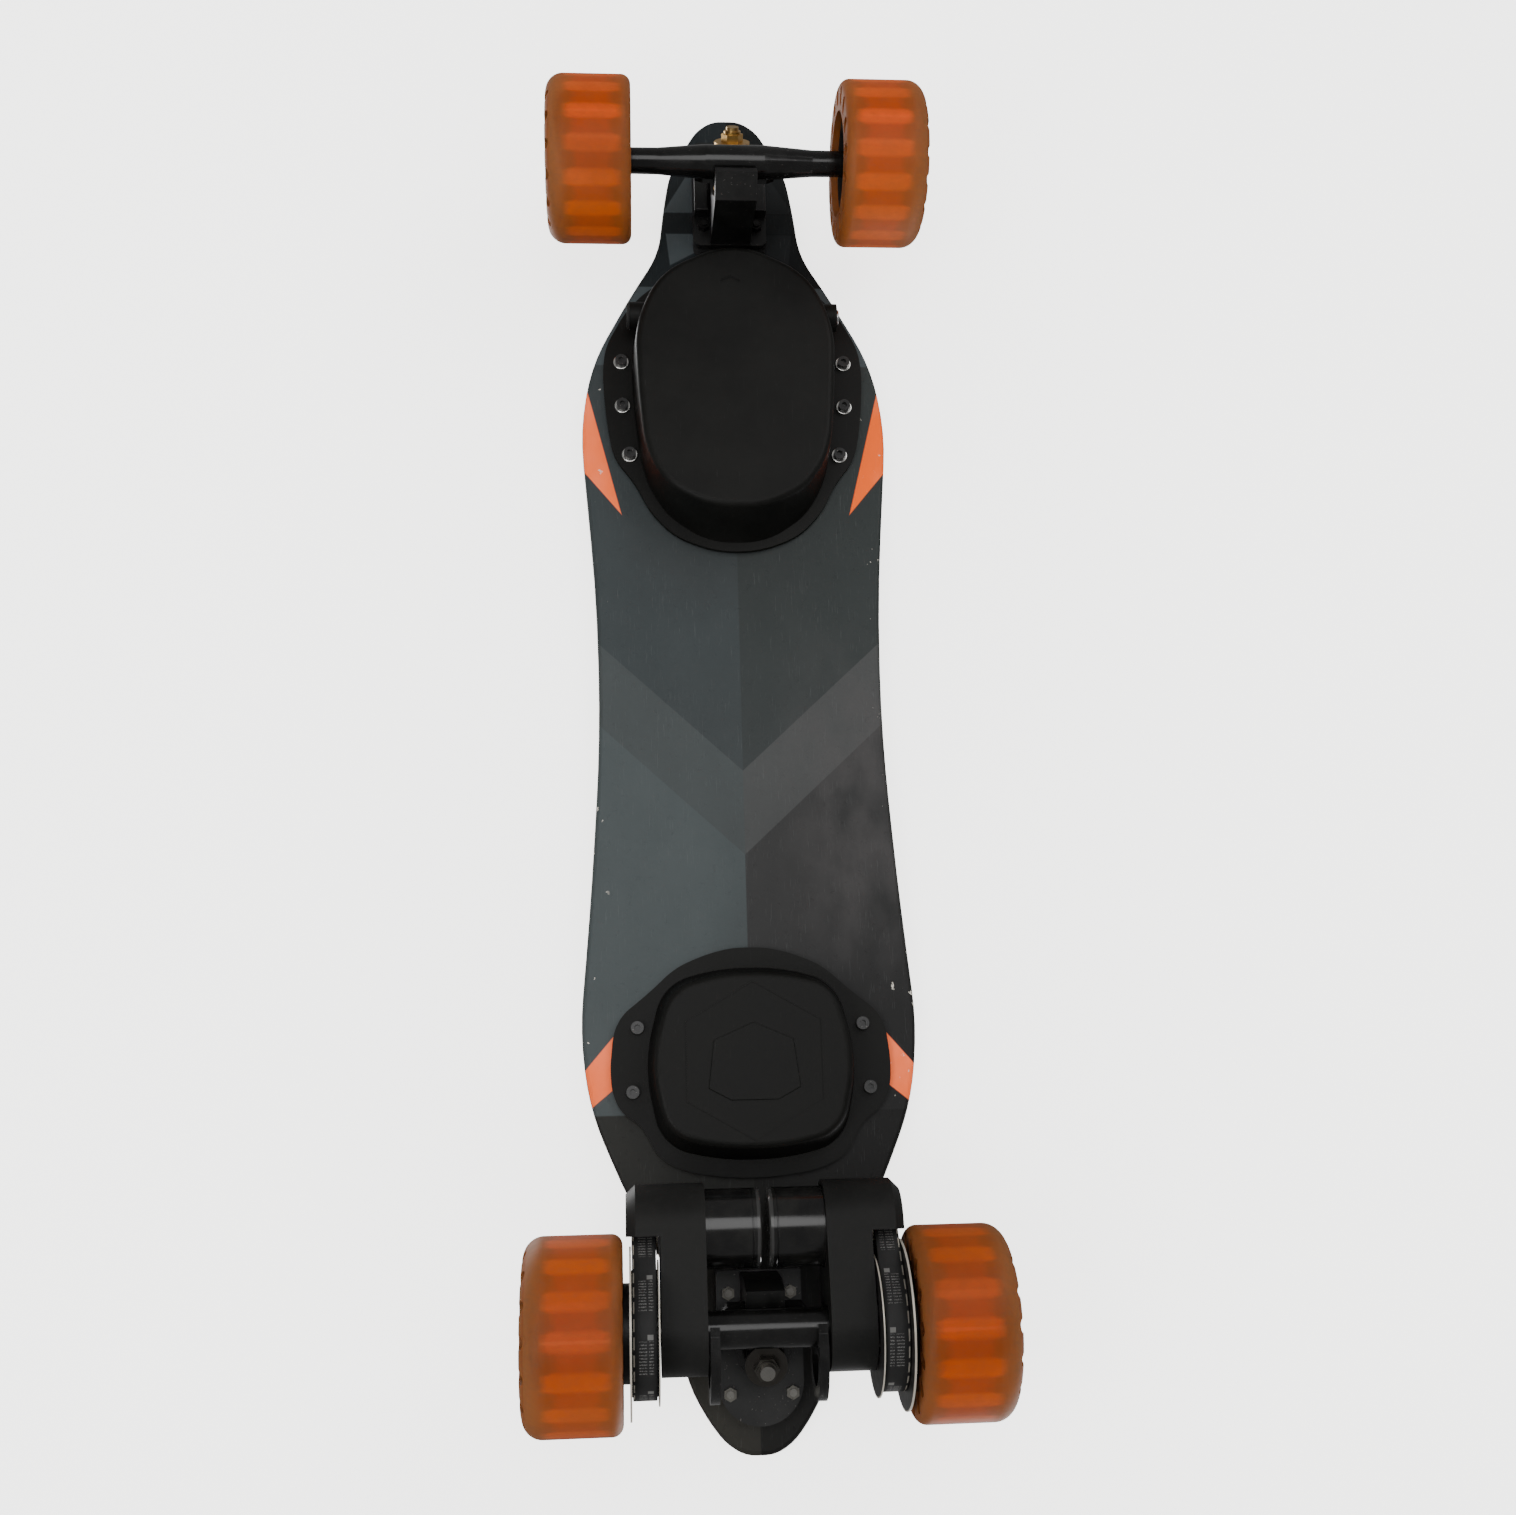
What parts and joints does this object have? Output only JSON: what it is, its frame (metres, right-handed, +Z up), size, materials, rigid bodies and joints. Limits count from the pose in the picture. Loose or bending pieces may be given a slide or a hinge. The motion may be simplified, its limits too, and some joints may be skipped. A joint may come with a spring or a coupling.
{
  "type": "electric skateboard",
  "caption": "Belt-driven electric longboard with reverse-kingpin trucks, wide urethane wheels, twin outrunner motors and battery and controller boxes under the deck.",
  "frame": {"origin": "centre of the bounding box on the ground, under the middle of the board", "axes": "+X towards the nose, +Y to the rider's left, +Z up from the ground through the deck; the wheels stand on Z = 0"},
  "size_m": [1.012, 0.304, 0.157],
  "materials": {
    "maple_ply": "printed black and slate facets with orange stripes, satin",
    "grip": "coarse black grit",
    "cover_plastic": "moulded matte black",
    "gasket_rubber": "matte",
    "cell_wrap": "shrink-wrapped",
    "circuit": "circuit board with a metal heat spreader",
    "black_screw": "black oxide",
    "bright_steel": "polished",
    "zinc_steel": "zinc plated",
    "port_plastic": "glossy black",
    "button_metal": "anodised",
    "riser_rubber": "matte",
    "truck_metal": "satin black powder coat",
    "cup_rubber": "matte",
    "gold_steel": "gold plated",
    "bushing_urethane": "cast urethane",
    "wheel_urethane": "translucent orange urethane",
    "core_plastic": "moulded black",
    "bearing_steel": "steel shields",
    "pulley_metal": "anodised",
    "belt_rubber": "ribbed black",
    "mount_metal": "satin black",
    "can_metal": "gloss black",
    "windings": "enamelled copper on a laminated core"
  },
  "bodies": {
    "board": {"deck": "maple_ply", "grip_tape": "grip", "battery_cover": "cover_plastic", "cover_gaskets": "gasket_rubber", "battery_pack": "cell_wrap", "esc_cover": "cover_plastic", "esc_board": "circuit", "cover_screws": "black_screw", "cover_washers": "bright_steel", "charge_port": "port_plastic", "truck_risers": "riser_rubber", "front_baseplate": "truck_metal", "rear_baseplate": "truck_metal", "pivot_cups": "cup_rubber", "truck_bolts": "zinc_steel", "truck_nuts": "zinc_steel", "kingpins": "zinc_steel", "kingpin_washers": "gold_steel", "kingpin_nuts": "gold_steel", "front_bushings": "bushing_urethane", "rear_bushings": "bushing_urethane"},
    "front_truck": {"front_hanger": "truck_metal", "front_axle": "zinc_steel", "front_axle_nuts": "zinc_steel", "front_axle_spacers": "zinc_steel"},
    "rear_truck": {"rear_hanger": "truck_metal", "rear_axle": "zinc_steel", "rear_axle_nuts": "zinc_steel", "rear_axle_spacers": "zinc_steel", "motor_screws": "black_screw", "left_motor_mount": "mount_metal", "left_belt_cover": "cover_plastic", "left_motor_stator": "windings", "left_belt": "belt_rubber", "right_motor_mount": "mount_metal", "right_belt_cover": "cover_plastic", "right_motor_stator": "windings", "right_belt": "belt_rubber"},
    "front_left_wheel": {"front_left_tyre": "wheel_urethane", "front_left_wheel_core": "core_plastic", "front_left_wheel_bearings": "bearing_steel"},
    "front_right_wheel": {"front_right_tyre": "wheel_urethane", "front_right_wheel_core": "core_plastic", "front_right_wheel_bearings": "bearing_steel"},
    "rear_left_wheel": {"rear_left_tyre": "wheel_urethane", "rear_left_wheel_core": "core_plastic", "rear_left_wheel_bearings": "bearing_steel", "left_wheel_pulley": "pulley_metal"},
    "rear_right_wheel": {"rear_right_tyre": "wheel_urethane", "rear_right_wheel_core": "core_plastic", "rear_right_wheel_bearings": "bearing_steel", "right_wheel_pulley": "pulley_metal"},
    "left_motor": {"left_motor_can": "can_metal", "left_motor_shaft": "zinc_steel", "left_motor_pulley": "pulley_metal"},
    "right_motor": {"right_motor_can": "can_metal", "right_motor_shaft": "zinc_steel", "right_motor_pulley": "pulley_metal"},
    "button": {"power_button": "button_metal"},
    "cap": {"charge_cap": "gasket_rubber"}
  },
  "joints": [
    {"name": "front_lean", "type": "hinge", "parent": "board", "child": "front_truck", "pos_m": [0.38954, 0, 0.05381], "axis": [0.7314, 0, 0.682], "range_deg": [-15, 15], "stiffness_Nm_per_rad": 45, "deforming": ["front_bushings"]},
    {"name": "rear_lean", "type": "hinge", "parent": "board", "child": "rear_truck", "pos_m": [-0.40323, 0, 0.07935], "axis": [-0.9397, 0, 0.342], "range_deg": [-15, 15], "stiffness_Nm_per_rad": 45, "deforming": ["rear_bushings"]},
    {"name": "front_left_wheel_spin", "type": "hinge", "parent": "front_truck", "child": "front_left_wheel", "pos_m": [0.411, 0, 0.06], "axis": [0, 1, 0], "continuous": true},
    {"name": "front_right_wheel_spin", "type": "hinge", "parent": "front_truck", "child": "front_right_wheel", "pos_m": [0.411, 0, 0.06], "axis": [0, 1, 0], "continuous": true},
    {"name": "rear_left_wheel_spin", "type": "hinge", "parent": "rear_truck", "child": "rear_left_wheel", "pos_m": [-0.42, 0, 0.06], "axis": [0, 1, 0], "continuous": true},
    {"name": "rear_right_wheel_spin", "type": "hinge", "parent": "rear_truck", "child": "rear_right_wheel", "pos_m": [-0.42, 0, 0.06], "axis": [0, 1, 0], "continuous": true},
    {"name": "left_motor_spin", "type": "hinge", "parent": "rear_truck", "child": "left_motor", "pos_m": [-0.359, 0, 0.07264], "axis": [0, 1, 0], "continuous": true},
    {"name": "right_motor_spin", "type": "hinge", "parent": "rear_truck", "child": "right_motor", "pos_m": [-0.359, 0, 0.07264], "axis": [0, 1, 0], "continuous": true},
    {"name": "button_press", "type": "slide", "parent": "board", "child": "button", "axis": [0, -1, 0], "range_m": [0, 0.0012], "stiffness_N_per_m": 800},
    {"name": "cap_open", "type": "hinge", "parent": "board", "child": "cap", "pos_m": [0.316, -0.0797, 0.132], "axis": [1, 0, 0], "range_deg": [-100, 0]}
  ],
  "couplings": [
    {"joint": "left_motor_spin", "follows": "rear_left_wheel_spin", "ratio": 3},
    {"joint": "right_motor_spin", "follows": "rear_right_wheel_spin", "ratio": 3}
  ]
}
